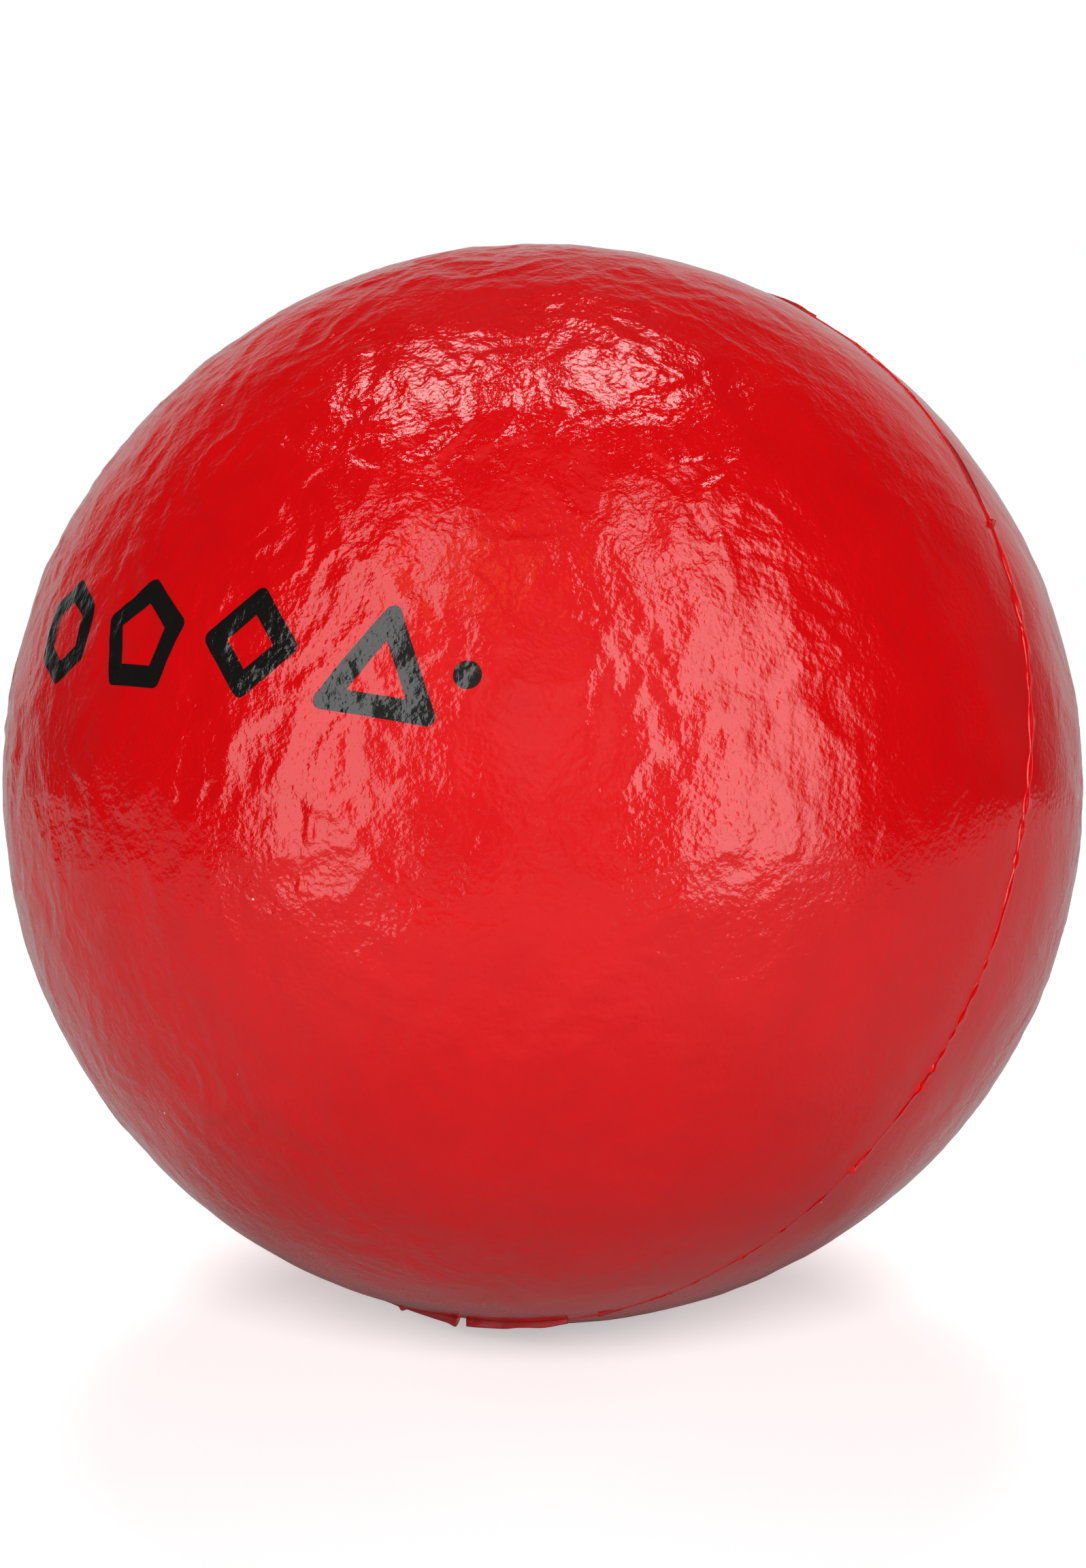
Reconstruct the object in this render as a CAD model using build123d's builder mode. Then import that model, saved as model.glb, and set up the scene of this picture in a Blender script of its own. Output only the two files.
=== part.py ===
from build123d import *
import math
import os

# A coated foam playground ball: a moulded foam core inside a tough red skin.
# The skin is moulded in two halves, and at the parting line a little foam is squeezed out
# between their edges, which turn outwards there. One half carries a row of printed shapes.
#
# Frame: origin at the centre of the ball, +Z up, -Y to the front.
# The pole of the printed half leans back from the front by pole_lift, and the row of
# shapes runs level, towards +X.

# Driving dimensions, in millimetres and degrees.
ball_diameter = 160.0  # over the skin, without the parting line
skin_thickness = 0.7
pole_lift = 20.0  # angle of the printed half's pole above the horizon

# Parting line: the foam web between the halves, and the skins' turned edges beside it.
web_width = 0.5
web_height = 0.8  # above the skin
lip_width = 0.35
lip_height = 0.5  # above the skin

# Printed shapes: outlines of equal height, each with a corner upwards, then a dot.
ink_thickness = 0.12
mark_height = 15.0
mark_stroke = 3.0
mark_corner_radius = 1.2
mark_pitch = 19.8  # from shape to shape, along the skin
corner_up = 90.0
row_start = -35.0  # first shape's centre from the pole, along the skin
row_rise = 3.5  # row's centre line above the pole, along the skin
mark_sides = {"print_hexagon": 6, "print_pentagon": 5, "print_diamond": 4, "print_triangle": 3}
dot_diameter = 3.8
dot_gap = 4.0  # from the last shape's side to the dot's centre

# Values that follow from them.
ball_radius = ball_diameter / 2
core_radius = ball_radius - skin_thickness
across = Vector(1, 0, 0)
pole = Vector(0, -math.cos(math.radians(pole_lift)), math.sin(math.radians(pole_lift)))
upward = pole.cross(across)

os.makedirs("parts", exist_ok=True)


def section_plane(axis_direction):
    """The plane that holds half a section of the ball: its X is a radius, its Y the axis."""
    return Plane(origin=(0, 0, 0), x_dir=across, z_dir=across.cross(axis_direction))


def skin_plane(along, rise):
    """The tangent plane at a point of the skin, given as two lengths along it from the pole."""
    turn = along / ball_radius
    lift = rise / ball_radius
    level = pole * math.cos(turn) + across * math.sin(turn)
    outward = level * math.cos(lift) + upward * math.sin(lift)
    sideways = across * math.cos(turn) - pole * math.sin(turn)
    return Plane(origin=outward * ball_radius, x_dir=sideways, z_dir=outward)


# Foam core: one solid moulding that fills the skin.
with BuildPart() as foam_core:
    Sphere(core_radius)
foam_core.part.label = "foam_core"
export_step(foam_core.part, "parts/foam_core.step")

# Skin halves: each is half a hollow sphere whose edge turns outwards as a narrow lip.
for name, direction in (("skin_print_half", pole), ("skin_plain_half", -pole)):
    with BuildPart() as skin:
        with BuildSketch(section_plane(direction)):
            Circle(ball_radius)
            Circle(core_radius, mode=Mode.SUBTRACT)
            with Locations((0, web_width / 2)):
                Rectangle(ball_diameter, ball_diameter, align=Align.MIN, mode=Mode.INTERSECT)
            with Locations((ball_radius - skin_thickness / 2, web_width / 2)):
                Rectangle(skin_thickness / 2 + lip_height, lip_width, align=Align.MIN)
        revolve(axis=Axis((0, 0, 0), pole))
    skin.part.label = name
    export_step(skin.part, f"parts/{name}.step")

# Seam flash: the thin web of foam that the closing mould squeezes out between the halves.
with BuildPart() as seam_flash:
    with BuildSketch(section_plane(pole)):
        with Locations((core_radius - web_width, 0)):
            web_reach = web_width + skin_thickness + web_height
            Rectangle(web_reach, web_width, align=(Align.MIN, Align.CENTER))
        Circle(core_radius, mode=Mode.SUBTRACT)
    revolve(axis=Axis((0, 0, 0), pole))
seam_flash.part.label = "seam_flash"
export_step(seam_flash.part, "parts/seam_flash.step")

# Printed outlines: a skin-thin layer of ink, cut from a prism by the ball's own curve.
for place, (name, sides) in enumerate(mark_sides.items()):
    height_per_radius = 2 if sides % 2 == 0 else 1 + math.cos(math.pi / sides)
    sharp_radius = (mark_height - 2 * mark_corner_radius) / height_per_radius
    with BuildPart() as mark:
        with BuildSketch(skin_plane(row_start + place * mark_pitch, row_rise)):
            RegularPolygon(sharp_radius, sides, rotation=corner_up)
            offset(amount=mark_corner_radius)
            offset(amount=-mark_stroke, mode=Mode.SUBTRACT)
        extrude(amount=mark_height / 2, both=True)
        Sphere(ball_radius + ink_thickness, mode=Mode.INTERSECT)
        Sphere(ball_radius, mode=Mode.SUBTRACT)
    mark.part.label = name
    export_step(mark.part, f"parts/{name}.step")

# Printed dot: it ends the row, level with the middle of the shapes.
last_mark = row_start + (len(mark_sides) - 1) * mark_pitch
with BuildPart() as dot:
    with BuildSketch(skin_plane(last_mark + mark_height / 2 + dot_gap, row_rise)):
        Circle(dot_diameter / 2)
    extrude(amount=dot_diameter, both=True)
    Sphere(ball_radius + ink_thickness, mode=Mode.INTERSECT)
    Sphere(ball_radius, mode=Mode.SUBTRACT)
dot.part.label = "print_dot"
export_step(dot.part, "parts/print_dot.step")
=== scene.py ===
import itertools
import math

import bmesh
import bpy
import numpy as np
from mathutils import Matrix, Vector


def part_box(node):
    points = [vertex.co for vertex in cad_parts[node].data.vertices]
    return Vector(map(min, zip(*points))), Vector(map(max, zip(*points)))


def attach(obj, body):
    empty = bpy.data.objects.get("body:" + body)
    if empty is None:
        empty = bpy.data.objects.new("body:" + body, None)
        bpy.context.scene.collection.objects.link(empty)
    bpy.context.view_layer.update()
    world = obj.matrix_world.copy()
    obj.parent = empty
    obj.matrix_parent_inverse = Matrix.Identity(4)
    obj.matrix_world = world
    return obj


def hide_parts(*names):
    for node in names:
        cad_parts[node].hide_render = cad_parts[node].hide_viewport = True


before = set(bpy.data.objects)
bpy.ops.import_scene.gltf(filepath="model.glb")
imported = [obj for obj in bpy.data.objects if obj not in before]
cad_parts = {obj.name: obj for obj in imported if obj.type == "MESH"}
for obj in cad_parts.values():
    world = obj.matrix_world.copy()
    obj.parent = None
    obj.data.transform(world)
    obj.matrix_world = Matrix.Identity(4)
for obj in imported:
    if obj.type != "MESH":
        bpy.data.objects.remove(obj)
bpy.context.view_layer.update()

# ---------------------------------------------------------------------------
# Foam core. One solid moulding of soft polyurethane foam fills the ball. Its
# own skin shows the mould's fine open cells, and the red coat is bonded to it.
# ---------------------------------------------------------------------------
mm = 0.001  # lengths are in metres
core_low, core_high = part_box("foam_core")
core_radius = (core_high.z - core_low.z) / 2 - 0.1 * mm
cell_size = 1.6 * mm
cell_depth = 0.18 * mm

rng = np.random.default_rng(16)
slopes = rng.normal(size=(256, 3))
slopes /= np.linalg.norm(slopes, axis=1)[:, None]
shuffled = rng.permutation(256)


def swell(points, size, kind=0):
    """Smooth random rise and fall, about -1 to 1, with humps about one size across."""
    at = points / size + 31.7 * kind
    corner_of = np.floor(at).astype(int)
    inside = at - corner_of
    ease = inside**3 * (inside * (inside * 6 - 15) + 10)
    total = np.zeros(len(points))
    for step in itertools.product((0, 1), repeat=3):
        a, b, c = ((corner_of + step) & 255).T
        slope = slopes[shuffled[(shuffled[(shuffled[a] + b) & 255] + c) & 255]]
        share = np.prod(np.where(step, ease, 1 - ease), axis=1)
        total += share * np.einsum("ij,ij->i", slope, inside - step)
    return 1.6 * total


def new_piece(name, points, faces, material):
    """A smooth-shaded mesh piece that rides on the ball."""
    mesh = bpy.data.meshes.new(name)
    mesh.from_pydata(points, [], faces)
    mesh.polygons.foreach_set("use_smooth", [True] * len(mesh.polygons))
    mesh.materials.append(material)
    mesh.update()
    piece = bpy.data.objects.new(name, mesh)
    bpy.context.scene.collection.objects.link(piece)
    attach(piece, "root")
    return piece


def shader_of(name):
    """A new material, its nodes, its links and its Principled shader."""
    material = bpy.data.materials.new(name)
    material.use_nodes = True
    nodes = material.node_tree.nodes
    return material, nodes, material.node_tree.links, nodes["Principled BSDF"]


def two_tone(nodes, links, shade, dark, light):
    """A colour from dark to light as the shade goes from 0 to 1."""
    ramp = nodes.new("ShaderNodeValToRGB")
    ramp.color_ramp.elements[0].color = (*dark, 1)
    ramp.color_ramp.elements[1].color = (*light, 1)
    links.new(shade, ramp.inputs["Fac"])
    return ramp.outputs["Color"]


def add_bump(nodes, links, shader, height, depth):
    """Gives the shader's surface a bump of this depth."""
    bump = nodes.new("ShaderNodeBump")
    bump.inputs["Distance"].default_value = depth
    links.new(height, bump.inputs["Height"])
    links.new(bump.outputs["Normal"], shader.inputs["Normal"])
    return bump


def open_cell_foam():
    material, nodes, links, shader = shader_of("open_cell_foam")
    place = nodes.new("ShaderNodeTexCoord").outputs["Object"]
    cells = nodes.new("ShaderNodeTexVoronoi")
    cells.inputs["Scale"].default_value = 1 / (0.6 * mm)
    links.new(place, cells.inputs["Vector"])
    wall = cells.outputs["Distance"]
    # darker in the hollow of each cell and lighter on the cell walls: painted shade in the hollows
    colour = two_tone(nodes, links, wall, (0.36, 0.02, 0.016), (0.74, 0.09, 0.07))
    links.new(colour, shader.inputs["Base Color"])
    add_bump(nodes, links, shader, wall, 0.15 * mm)
    shader.inputs["Roughness"].default_value = 0.85
    return material


sphere = bmesh.new()
bmesh.ops.create_icosphere(sphere, subdivisions=7, radius=1)
outward = np.array([v.co for v in sphere.verts])
core_faces = [[v.index for v in f.verts] for f in sphere.faces]
sphere.free()
cell_pits = np.clip(swell(outward * core_radius, cell_size) - 0.1, 0, 1) * cell_depth
core_points = outward * (core_radius - cell_pits)[:, None]
foam_ball = new_piece("foam_ball", core_points, core_faces, open_cell_foam())
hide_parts("foam_core")

# ---------------------------------------------------------------------------
# Skin. Two half shells of tough glossy polyurethane, sprayed into the halves
# of the mould, whose edges turn outwards where the halves meet. The coat
# wrinkles as it cures: broad lumps, upright veins and patches of fine grain.
# ---------------------------------------------------------------------------
ball_radius = -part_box("skin_plain_half")[0].z
pole_lift = math.radians(20)
across = np.array((1.0, 0.0, 0.0))
pole = np.array((0.0, -math.cos(pole_lift), math.sin(pole_lift)))  # middle of the printed half
upward = np.cross(pole, across)

broad_lump = 70 * mm
lump = 26 * mm
vein = 8.5 * mm
fold = 6.0 * mm
wrinkle = 3.3 * mm
fine_wrinkle = 1.8 * mm
vein_drift = 3.5 * mm


def skin_relief(outward):
    """Height of the wrinkled coat above the ball's radius, in metres."""
    places = outward * ball_radius
    crown = np.clip(outward[:, 2] * 1.3, -0.5, 1)
    calm = np.clip((np.abs(outward @ pole) - 0.06) / 0.52, 0, 1)  # smoother beside the parting line
    rough = (0.85 + 0.30 * crown + 0.5 * swell(places, 15 * mm, 4)) * (0.2 + 0.8 * calm)
    drift = np.stack([swell(places, 12 * mm, kind) for kind in (1, 2, 3)], axis=1)
    drawn = places * (1.0, 1.0, 0.8) + drift * vein_drift  # veins and wrinkles are longer upwards
    height = 0.36 * swell(places, broad_lump, 5) + 0.16 * swell(places, lump, 6)
    height += 0.23 * swell(drawn, vein, 7) * (0.35 + 0.65 * rough)
    folds = 1 - 2.6 * np.abs(swell(drawn, fold, 8))
    height += 0.13 * np.maximum(folds, 0) * rough
    height += 0.115 * swell(drawn, wrinkle, 9) * rough
    height += 0.058 * swell(drawn, fine_wrinkle, 10) * rough
    return height * mm


def to_ball(points, facing):
    """Turns points about +Z so that +Z becomes the printed pole (1) or the plain one (-1)."""
    return points[:, :1] * across + points[:, 1:2] * upward + facing * points[:, 2:] * pole


# Along the parting line, angles run from +X over the top of the ball.
rings = 200
seam_steps = 8 * rings
seam_turn = np.arange(seam_steps) / seam_steps * 2 * math.pi
seam_circle = np.stack([np.cos(seam_turn), np.sin(seam_turn), np.zeros(seam_steps)], axis=1)
seam_round = seam_circle * ball_radius
edge_relief = skin_relief(to_ball(seam_circle, 1))


def off_angle(angle):
    """Signed distance in degrees of the parting line's points from an angle along it."""
    return np.mod(np.degrees(seam_turn) - angle + 180, 360) - 180


def near(angle, reach):
    """1 at an angle of the parting line, falling smoothly to 0 a reach away; both in degrees."""
    return np.clip(1 - (off_angle(angle) / reach) ** 2, 0, 1)


# The edges part in places and leave lens-shaped openings: angle, reach in degrees, and half
# width in millimetres. The largest are listed one by one, and small ones are strewn all round.
openings = [
    (29.3, 2.5, 0.42), (24.6, 1.8, 0.56), (20.4, 1.7, 0.46), (16.8, 1.4, 0.38), (12.4, 2.4, 0.52), (7.6, 1.7, 0.46),
    (4.2, 1.4, 0.56), (1.4, 1.0, 0.50), (-1.6, 0.9, 0.46), (-4.6, 0.7, 0.36), (-9.2, 1.8, 0.34), (-12.4, 0.6, 0.30),
    (-15.4, 1.1, 0.46), (-18, 1.0, 0.50), (-20, 0.7, 0.34), (-22.2, 0.7, 0.38), (-24.2, 0.6, 0.34), (-25.8, 1.0, 0.52),
    (-29, 1.4, 0.30), (-35.8, 1.0, 0.48), (-42, 1.5, 0.30),
]
for _ in range(64):
    openings.append((rng.uniform(0, 360), rng.uniform(0.4, 2.2), rng.uniform(0.1, 0.36)))
parted = np.zeros(seam_steps)
for angle, reach, width in openings:
    parted = np.maximum(parted, near(angle, reach) * width * mm)
half_gap = 0.03 * mm + parted

# Height of the turned edges, which are trimmed by hand with a knife, with a few beads left.
ragged = swell(seam_round, 2.4 * mm, 11)
upper_side = near(24, 52) ** 0.5  # trimmed less closely there
lower_side = near(-30, 34) ** 0.5  # and more closely there
lip_height = 0.13 + 0.14 * upper_side - 0.08 * lower_side
lip_height += 0.05 * swell(seam_round, 9 * mm, 12) + 0.05 * ragged + 0.04 * swell(seam_round, 1.1 * mm, 14)
lip_height *= mm
beads = [(-24, 0.5, 0.35), (-26.4, 0.6, 0.30), (-37, 0.45, 0.45), (-52, 0.3, 0.25), (-61, 0.3, 0.2)]
for angle, reach, height in beads:
    lip_height += near(angle, reach) * height * mm
lip_height = np.maximum(lip_height, 0.02 * mm)

# Height of the web that stands between the edges: angle, and height in millimetres. A tall
# piece is left under the ball, torn by a short slit, and four small teeth stand on their own.
fin_shape = [
    (-180, 0.3), (-176, 0.8), (-168, 0.6), (-161, 0.1), (-150, 0), (-146, 0.5), (-141, 0.4), (-138, 0),
    (-99, 0), (-96.6, 0.35), (-94.9, 0.45), (-94.4, 1.0), (-93.8, 0.5), (-91, 0.8), (-88.4, 1.15), (-87.5, 1.55),
    (-87.1, 1.5), (-87, -0.2), (-86.2, -0.2), (-86.1, 1.3), (-84, 1.15), (-80, 1.0), (-76, 0.95), (-72, 0.55),
    (-68, 0.3), (-64, 0), (64, 0), (67, 0.45), (70, 0.6), (73, 0.35), (78, 0), (96, 0), (101, 0.6), (109, 0.5),
    (112, 0), (133, 0), (135, 0.7), (141, 0.4), (147, 0), (172, 0), (180, 0.3),
]
fin_angles, fin_heights = zip(*fin_shape)
fin_height = np.interp(off_angle(0), fin_angles, fin_heights) * mm
fin_height += 0.12 * ragged * mm * (fin_height > 0.25 * mm)
teeth = [(-105, 0.5, 1.2), (-102.4, 0.6, 0.9), (34, 0.8, 1.0), (-36.3, 0.4, 0.5)]
for angle, reach, height in teeth:
    tooth = np.clip(1 - np.abs(off_angle(angle)) / reach, 0, 1)
    fin_height = np.maximum(fin_height, tooth * height * mm)
stands = fin_height > 0.2 * mm
half_gap = np.where(stands, np.maximum(half_gap, 0.12 * mm), half_gap)
facet = near(41, 6.5)  # one wide, flat strip of web, flush with the skin
lip_height *= 1 - 0.75 * facet
half_gap = np.maximum(half_gap, 0.5 * facet * mm)


def square_dome(rings):
    """A half ball about +Z: its directions on a square net, its faces, and its edge in order."""
    steps = np.arange(-rings, rings + 1)
    a, b = (net.ravel().astype(float) for net in np.meshgrid(steps, steps))
    ring = np.maximum(np.abs(a), np.abs(b))  # ring n has 8n points
    safe = np.maximum(ring, 1)
    right = (a == ring) & (ring > 0)
    top = (b == ring) & ~right
    left = (a == -ring) & ~right & ~top
    walk = np.where(right, b, np.where(top, 2 * safe - a, np.where(left, 4 * safe - b, 6 * safe + a)))
    turn = walk / (8 * safe) * 2 * math.pi
    lean = ring / rings * math.pi / 2
    flat = np.sin(lean)
    points = np.stack([flat * np.cos(turn), flat * np.sin(turn), np.cos(lean)], axis=1)
    side = 2 * rings + 1
    corner = (np.arange(side - 1)[:, None] * side + np.arange(side - 1)).ravel()
    faces = np.stack([corner, corner + 1, corner + side + 1, corner + side], axis=1)
    edge = np.flatnonzero(ring == rings)
    edge = edge[np.argsort(np.mod(turn[edge], 2 * math.pi))]
    return points, faces, edge


def wound(first, second):
    """Faces between two closed rows of the same number of points."""
    return np.stack([first, np.roll(first, -1), np.roll(second, -1), second], axis=1)


def skin_half(name, facing, material):
    """One half shell: wrinkled outside, turned edge, flat parting face and smooth inside."""
    dome, faces, edge = square_dome(rings)
    keep_off = 1.4 * mm / ball_radius  # the net stops short of the turned edge
    lean = np.arccos(np.clip(dome[:, 2], -1, 1)) * (1 - keep_off / (math.pi / 2))
    level = np.hypot(dome[:, 0], dome[:, 1])
    level = np.where(level > 0, level, 1)
    dome = np.column_stack([dome[:, :2] / level[:, None] * np.sin(lean)[:, None], np.cos(lean)])
    outside = to_ball(dome, facing)
    lip_profile = [  # distance from the edge's inner side in millimetres, and share of the lip's height
        (0.80, 0.03), (0.58, 0.08), (0.42, 0.18), (0.31, 0.36), (0.23, 0.62),
        (0.17, 0.86), (0.12, 0.97), (0.07, 1.0), (0.03, 0.88), (0.0, 0.5), (0.01, 0.0),
    ]
    loops = []
    for away, share in lip_profile:
        loop = seam_circle * (ball_radius + edge_relief + share * lip_height)[:, None]
        loop[:, 2] = half_gap + away * mm
        loops.append(loop)
    wall = 0.25 * mm  # where the parting face turns inwards
    loop = seam_circle * (ball_radius - wall)
    loop[:, 2] = wall
    loops.append(loop)
    inside_radius = core_radius + 0.1 * mm
    inside_rows = 24
    for step in range(inside_rows):
        lean = step / inside_rows * math.pi / 2
        loop = seam_circle * inside_radius * math.cos(lean)
        loop[:, 2] = inside_radius * math.sin(lean) + wall * math.cos(lean)
        loops.append(loop)
    inside_tip = np.array([[0.0, 0.0, inside_radius]])
    points = [outside * (ball_radius + skin_relief(outside))[:, None]]
    points = np.concatenate(points + [to_ball(loop, facing) for loop in loops + [inside_tip]])
    rows = [edge] + [len(dome) + k * seam_steps + np.arange(seam_steps) for k in range(len(loops))]
    quads = np.concatenate([faces] + [wound(second, first) for first, second in zip(rows, rows[1:])])
    tip = np.stack([rows[-1], np.full(seam_steps, len(points) - 1), np.roll(rows[-1], -1)], axis=1)
    if facing < 0:
        quads, tip = quads[:, ::-1], tip[:, ::-1]
    piece = new_piece(name, points, quads.tolist() + tip.tolist(), material)
    return piece


def noise_node(nodes, links, place, size, detail, roughness=0.5):
    """Noise with humps about one size across, in metres."""
    noise = nodes.new("ShaderNodeTexNoise")
    noise.inputs["Scale"].default_value = 1 / size
    noise.inputs["Detail"].default_value = detail
    noise.inputs["Roughness"].default_value = roughness
    links.new(place, noise.inputs["Vector"])
    return noise.outputs["Fac"]


def math_node(nodes, links, kind, *values):
    """The result of a math node, fed with numbers or other nodes' results."""
    node = nodes.new("ShaderNodeMath")
    node.operation = kind
    for socket, value in zip(node.inputs, values):
        if isinstance(value, (int, float)):
            socket.default_value = value
        else:
            links.new(value, socket)
    return node.outputs[0]


def mixed_colour(nodes, links, share, first, second):
    """A mix of two colours, each a plain colour or another node's result."""
    mix = nodes.new("ShaderNodeMix")
    mix.data_type = "RGBA"
    links.new(share, mix.inputs["Factor"])
    for socket, colour in (("A", first), ("B", second)):
        if isinstance(colour, tuple):
            mix.inputs[socket].default_value = (*colour, 1)
        else:
            links.new(colour, mix.inputs[socket])
    return mix.outputs["Result"]


def grain_bump(nodes, links, place, shader):
    """The coat's finest grain: round nodules under a millimetre across, in patches, and creases."""
    nodules = nodes.new("ShaderNodeTexVoronoi")
    nodules.feature = "SMOOTH_F1"
    nodules.inputs["Scale"].default_value = 1 / (0.85 * mm)
    nodules.inputs["Smoothness"].default_value = 0.35
    links.new(place, nodules.inputs["Vector"])
    patch = nodes.new("ShaderNodeMapRange")
    patch.inputs["From Min"].default_value = 0.42
    patch.inputs["From Max"].default_value = 0.62
    patch.inputs["To Min"].default_value = 0.45
    patch.inputs["To Max"].default_value = 1.0
    links.new(noise_node(nodes, links, place, 9 * mm, 2), patch.inputs["Value"])
    grain = math_node(nodes, links, "MULTIPLY", nodules.outputs["Distance"], patch.outputs["Result"])
    creases = noise_node(nodes, links, place, 1.1 * mm, 3, 0.55)
    both = math_node(nodes, links, "MULTIPLY_ADD", creases, 2.1, grain)
    from_seam = nodes.new("ShaderNodeVectorMath")
    from_seam.operation = "DOT_PRODUCT"
    from_seam.inputs[1].default_value = pole / ball_radius
    links.new(place, from_seam.inputs[0])
    calm = nodes.new("ShaderNodeMapRange")  # weaker beside the parting line
    calm.inputs["From Max"].default_value = 0.4
    calm.inputs["To Min"].default_value = 0.35
    links.new(math_node(nodes, links, "ABSOLUTE", from_seam.outputs["Value"]), calm.inputs["Value"])
    bump = add_bump(nodes, links, shader, both, 0.06 * mm)
    links.new(calm.outputs["Result"], bump.inputs["Strength"])


def glossy_red_skin():
    material, nodes, links, shader = shader_of("glossy_red_skin")
    place = nodes.new("ShaderNodeTexCoord").outputs["Object"]
    patches = noise_node(nodes, links, place, 9 * mm, 3)
    red = two_tone(nodes, links, patches, (0.500, 0.0010, 0.0026), (0.600, 0.0022, 0.0036))
    dust = nodes.new("ShaderNodeTexVoronoi")
    dust.inputs["Scale"].default_value = 1 / (9 * mm)
    links.new(place, dust.inputs["Vector"])
    speck = math_node(nodes, links, "LESS_THAN", dust.outputs["Distance"], 0.018)
    dusty_red = mixed_colour(nodes, links, speck, red, (0.8, 0.62, 0.55))
    links.new(dusty_red, shader.inputs["Base Color"])
    grain_bump(nodes, links, place, shader)
    shader.inputs["Roughness"].default_value = 0.10
    shader.inputs["IOR"].default_value = 1.46
    return material


red_skin = glossy_red_skin()
printed_skin = skin_half("printed_skin", 1, red_skin)
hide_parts("skin_print_half")
plain_skin = skin_half("plain_skin", -1, red_skin)
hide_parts("skin_plain_half")

# ---------------------------------------------------------------------------
# Parting-line web. Foam and coat squeeze out between the closing mould halves
# and set as a thin ragged fin. It is trimmed by hand, so it stands higher in
# places, with small teeth, and is torn away low where the edges part.
# ---------------------------------------------------------------------------
web_root = -0.6 * mm
web_torn_top = -0.55 * mm
web_tightest = 0.015 * mm
web_widest = 0.12 * mm
web_play = 0.01 * mm  # between the web and each edge


def trimmed_web_red():
    material, nodes, links, shader = shader_of("trimmed_web_red")
    place = nodes.new("ShaderNodeTexCoord").outputs["Object"]
    cut_marks = noise_node(nodes, links, place, 1.2 * mm, 3)
    # darker red than the coat: partly the trimmed fin's own deeper red, partly painted shade of the seam's gap and of
    # its flat strip
    red = two_tone(nodes, links, cut_marks, (0.190, 0.0007, 0.0014), (0.340, 0.0013, 0.0024))
    links.new(red, shader.inputs["Base Color"])
    add_bump(nodes, links, shader, cut_marks, 0.05 * mm)
    shader.inputs["Roughness"].default_value = 0.35
    return material


web_top = np.where(stands, np.maximum(fin_height, lip_height * 0.7), lip_height * 0.7)
web_top = np.where(parted > 0.08 * mm, np.minimum(web_top, web_torn_top), web_top)
web_top = np.where(facet > 0, (0.04 + 0.24 * facet) * mm, web_top)
web_half = np.clip(half_gap - web_play, web_tightest, web_widest)
web_half = np.where(facet > 0, half_gap - web_play, web_half)
lean_over = swell(seam_round, 7 * mm, 13) * np.maximum(web_top, 0) * 0.35
web_rows = []
for share, side in [(0, 1), (0.5, 1), (0.9, 0.8), (1, 0.3), (1, -0.3), (0.9, -0.8), (0.5, -1), (0, -1)]:
    height = web_root + (web_top - web_root) * share
    if share > 0.4:
        height -= side * 0.3 * facet * mm  # the strip slopes up to the plain half
    row = seam_circle * (ball_radius + edge_relief + height)[:, None]
    row[:, 2] = side * web_half + lean_over * share**2
    web_rows.append(to_ball(row, 1))
web_ids = [np.arange(seam_steps) + k * seam_steps for k in range(len(web_rows))]
web_faces = np.concatenate([wound(a, b) for a, b in zip(web_ids, web_ids[1:] + web_ids[:1])])
seam_web = new_piece("seam_web", np.concatenate(web_rows), web_faces.tolist(), trimmed_web_red())
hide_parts("seam_flash")

# ---------------------------------------------------------------------------
# Print. A row of plain outlined shapes and a dot, in thin flexible black ink
# that follows the coat's wrinkles. The shapes have one height and a corner up.
# ---------------------------------------------------------------------------
ink_lift = 0.03 * mm
ink_depth = -0.1 * mm  # its underside is sunk into the coat
ink_rows = 12
mark_height = 15 * mm
mark_stroke = 3 * mm
corner_radius = 1.2 * mm
inner_corner_radius = 0.15 * mm
mark_pitch = 19.8 * mm
row_start = -35 * mm
row_rise = 3.5 * mm
dot_radius = 1.9 * mm
dot_gap = 4 * mm


def black_ink():
    material, nodes, links, shader = shader_of("black_ink")
    place = nodes.new("ShaderNodeTexCoord").outputs["Object"]
    patches = noise_node(nodes, links, place, 2 * mm, 4)
    black = two_tone(nodes, links, patches, (0.0045, 0.0042, 0.004), (0.0075, 0.0065, 0.006))
    links.new(black, shader.inputs["Base Color"])
    grain_bump(nodes, links, place, shader)
    shader.inputs["Roughness"].default_value = 0.13
    return material


def on_skin(flat, along, lift):
    """Lays flat points of a mark on the skin, with its centre a way along the row from the pole."""
    turn, lean = along / ball_radius, row_rise / ball_radius
    level = pole * math.cos(turn) + across * math.sin(turn)
    centre = level * math.cos(lean) + upward * math.sin(lean)
    sideways = across * math.cos(turn) - pole * math.sin(turn)
    up = np.cross(centre, sideways)
    flat_x, flat_y = flat[:, :1] / ball_radius, flat[:, 1:] / ball_radius
    depth = np.sqrt(1 - flat_x**2 - flat_y**2)
    outward = centre * depth + sideways * flat_x + up * flat_y
    return outward * (ball_radius + skin_relief(outward) + lift)[:, None]


def polygon_rim(turn, sides, side_reach, corner):
    """Distance to the rim of a rounded polygon with a corner at the top, at each angle."""
    wedge = math.pi / sides
    off = np.abs(np.mod(turn - math.pi / 2, 2 * wedge) - wedge)
    straight = side_reach / np.cos(off)
    arc_x = side_reach - corner
    arc_y = arc_x * math.tan(wedge)
    along = arc_x * np.cos(off) + arc_y * np.sin(off)
    aside = arc_x * np.sin(off) - arc_y * np.cos(off)
    rounded = along + np.sqrt(np.maximum(corner**2 - aside**2, 0))
    return np.where(straight * np.sin(off) > arc_y, rounded, straight)


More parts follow.
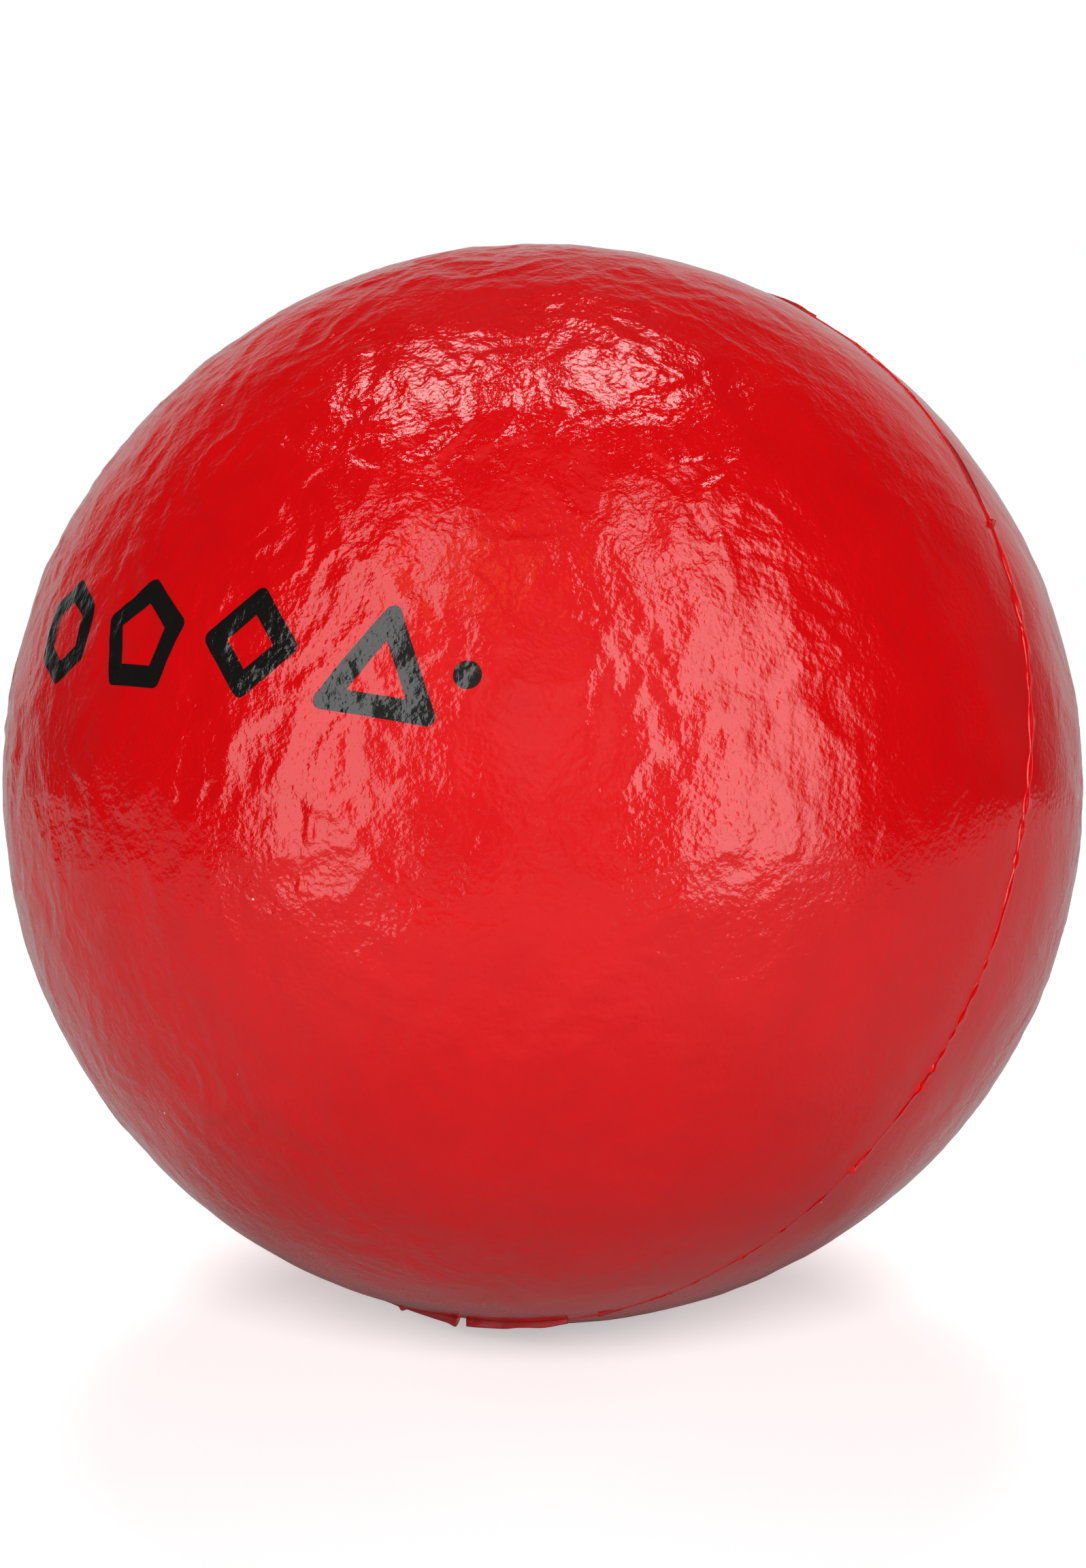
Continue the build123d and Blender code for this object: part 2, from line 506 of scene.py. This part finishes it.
def ink_mark(name, along, outer, inner, drop=0.0):
    """A closed, thin layer of ink between two rims about the mark's centre."""
    turns = len(outer)
    turn = np.arange(turns) / turns * 2 * math.pi
    ray = np.stack([np.cos(turn), np.sin(turn)], axis=1)
    inwards = np.linspace(0, 1, ink_rows)
    rows = []
    for lift, shares in ((ink_lift, inwards), (ink_depth, inwards[::-1])):
        for share in shares:
            flat = ray * (outer + (inner - outer) * share)[:, None]
            rows.append(on_skin(flat - (0, drop), along, lift))
    ids = [np.arange(turns) + k * turns for k in range(len(rows))]
    faces = np.concatenate([wound(a, b) for a, b in zip(ids, ids[1:] + ids[:1])])
    piece = new_piece(name, np.concatenate(rows), faces.tolist(), ink)
    piece.data.set_sharp_from_angle(angle=math.radians(35))
    return piece


ink = black_ink()
rim_turn = np.arange(480) / 480 * 2 * math.pi
shapes = {"hexagon": 6, "pentagon": 5, "diamond": 4, "triangle": 3}
for place, (name, sides) in enumerate(shapes.items()):
    wedge = math.pi / sides
    flat_foot = sides % 2 == 1  # it stands on a side, so it is let down to sit midway on the row
    height_per_radius = 1 + math.cos(wedge) if flat_foot else 2
    sharp_radius = (mark_height - 2 * corner_radius) / height_per_radius
    drop = sharp_radius * (1 - math.cos(wedge)) / 2 if flat_foot else 0
    side_reach = sharp_radius * math.cos(wedge) + corner_radius
    outer = polygon_rim(rim_turn, sides, side_reach, corner_radius)
    inner = polygon_rim(rim_turn, sides, side_reach - mark_stroke, inner_corner_radius)
    mark = ink_mark(f"{name}_print", row_start + place * mark_pitch, outer, inner, drop)
    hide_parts(f"print_{name}")
dot_along = row_start + 3 * mark_pitch + mark_height / 2 + dot_gap
dot = ink_mark("dot_print", dot_along, np.full(120, dot_radius), np.full(120, 0.02 * mm))
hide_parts("print_dot")

# ---------------------------------------------------------------------------
# Studio. A pale floor and a white backdrop. The glossy coat mirrors two tall
# soft boxes at the front corners, two round lamps high up and a pale wall
# behind, and soft fill lights that it doesn't mirror light its colour.
# ---------------------------------------------------------------------------
floor_reach = 0.55
floor_level = -ball_radius - 0.3 * mm
view_turn = 35.0
view_lift = 10.4
view_distance = 0.56
fill_distance = 1.5
fills = {  # turn from the camera, lift, and watts
    "front_fill": (0, 24, 29),
    "left_fill": (-122, 8, 8),
    "right_fill": (122, 8, 8),
    "back_fill": (180, 50, 16),
}

floor_mesh = bpy.data.meshes.new("floor")
floor_corners = [(x * floor_reach, y * floor_reach, floor_level) for x, y in ((-1, -1), (1, -1), (1, 1), (-1, 1))]
floor_mesh.from_pydata(floor_corners, [], [(0, 1, 2, 3)])
floor = bpy.data.objects.new("floor", floor_mesh)
bpy.context.scene.collection.objects.link(floor)
pale, nodes, links, shader = shader_of("pale_floor")
in_view = nodes.new("ShaderNodeLightPath").outputs["Is Camera Ray"]
# the camera sees the floor pale with an even glow; to reflections and bounce light it is darker, so that it throws
# little light back up
tone = mixed_colour(nodes, links, in_view, (0.42, 0.41, 0.41), (0.85, 0.85, 0.85))
links.new(tone, shader.inputs["Base Color"])
shader.inputs["Emission Color"].default_value = (1, 1, 1, 1)
links.new(math_node(nodes, links, "MULTIPLY", in_view, 0.4), shader.inputs["Emission Strength"])
shader.inputs["Roughness"].default_value = 0.7
floor_mesh.materials.append(pale)

world = bpy.data.worlds.new("studio")
bpy.context.scene.world = world
world.use_nodes = True
world.cycles_visibility.diffuse = False  # it only shows as gloss and backdrop
nodes, links = world.node_tree.nodes, world.node_tree.links


def toward(turn, lift):
    """Direction from the ball; the turn goes from the ball's front towards its right side."""
    turn, lift = math.radians(turn), math.radians(lift)
    return Vector((math.sin(turn) * math.cos(lift), -math.cos(turn) * math.cos(lift), math.sin(lift)))


def in_world(kind, *values):
    """The result of a math node of the studio's surround."""
    return math_node(nodes, links, kind, *values)


def fade(value, middle, soft):
    """1 below the middle and 0 above it, with a smooth change a soft width to each side."""
    ramp = nodes.new("ShaderNodeMapRange")
    ramp.interpolation_type = "SMOOTHSTEP"
    ramp.inputs["From Min"].default_value = middle - soft
    ramp.inputs["From Max"].default_value = middle + soft
    ramp.inputs["To Min"].default_value = 1
    ramp.inputs["To Max"].default_value = 0
    links.new(value, ramp.inputs["Value"])
    return ramp.outputs["Result"]


aim = nodes.new("ShaderNodeTexCoord").outputs["Generated"]
parts = nodes.new("ShaderNodeSeparateXYZ")
links.new(aim, parts.inputs[0])
backward = in_world("MULTIPLY", parts.outputs["Y"], -1)
azimuth = in_world("MULTIPLY", in_world("ARCTAN2", parts.outputs["X"], backward), 180 / math.pi)
elevation = in_world("MULTIPLY", in_world("ARCSINE", parts.outputs["Z"]), 180 / math.pi)


def panel(left, right, left_soft, right_soft, low, high, end_soft, glow):
    """Light from an upright panel between two turns and two heights, all in degrees."""
    off = in_world("WRAP", in_world("SUBTRACT", azimuth, (left + right) / 2), 180, -180)
    half = (right - left) / 2
    right_end = fade(off, half, right_soft)
    left_end = fade(in_world("MULTIPLY", off, -1), half, left_soft)
    off_level = in_world("ABSOLUTE", in_world("SUBTRACT", elevation, (low + high) / 2))
    level = fade(off_level, (high - low) / 2, end_soft)
    return in_world("MULTIPLY", in_world("MULTIPLY", right_end, left_end), in_world("MULTIPLY", level, glow))


def lamp(turn, lift, half_width, soft, glow):
    """Light from a round lamp, with its widths in degrees."""
    closeness = nodes.new("ShaderNodeVectorMath")
    closeness.operation = "DOT_PRODUCT"
    closeness.inputs[1].default_value = toward(turn, lift)
    links.new(aim, closeness.inputs[0])
    off = in_world("MULTIPLY", in_world("ARCCOSINE", closeness.outputs["Value"]), 180 / math.pi)
    return in_world("MULTIPLY", fade(off, half_width, soft), glow)


white_lights = [
    panel(-25, 2, 2, 3, -16, 62, 4, 3.4),  # left soft box
    panel(64, 92, 2, 12, -16, 62, 4, 4.4),  # right soft box
    lamp(-96, 69, 7.5, 1.2, 8),
    lamp(-178, 72, 8, 1.2, 8),
    panel(3, 67, 6, 6, -12, 80, 8, 0.24),  # the room in front
    panel(26, 48, 3, 3, -12, 34, 6, 0.20),  # its nearer part
    panel(-188, -102, 14, 14, -20, 25, 20, 0.50),  # pale wall behind
]
white = 0.03
for light in white_lights:
    white = in_world("ADD", light, white)
warm = lamp(17, 53, 8, 4, 1.7)  # a warmer patch of the ceiling
glow_colour = nodes.new("ShaderNodeCombineXYZ")
for socket, share in zip(glow_colour.inputs, (1, 0.35, 0.1)):
    links.new(in_world("MULTIPLY_ADD", warm, share, white), socket)
in_view = nodes.new("ShaderNodeLightPath").outputs["Is Camera Ray"]
backdrop = mixed_colour(nodes, links, in_view, glow_colour.outputs["Vector"], (1, 1, 1))
links.new(backdrop, nodes["Background"].inputs["Color"])

for name, (turn, lift, watts) in fills.items():
    light = bpy.data.lights.new(name, "AREA")
    light.shape = "DISK"
    light.size = 0.9
    light.energy = watts
    fill = bpy.data.objects.new(name, light)
    place = toward(view_turn + turn, lift)
    fill.location = place * fill_distance
    fill.rotation_mode = "QUATERNION"
    fill.rotation_quaternion = (-place).to_track_quat("-Z", "Y")
    fill.visible_glossy = False
    fill.visible_camera = False
    bpy.context.scene.collection.objects.link(fill)

camera = bpy.data.objects.new("camera", bpy.data.cameras.new("camera"))
camera.data.lens = 85.9
camera.data.sensor_width = 36
camera.data.clip_start = 0.01
camera.location = toward(view_turn, view_lift) * view_distance
camera.rotation_mode = "QUATERNION"
camera.rotation_quaternion = (-toward(view_turn, view_lift)).to_track_quat("-Z", "Y")
bpy.context.scene.collection.objects.link(camera)
bpy.context.scene.camera = camera
bpy.context.scene.view_settings.view_transform = "Standard"
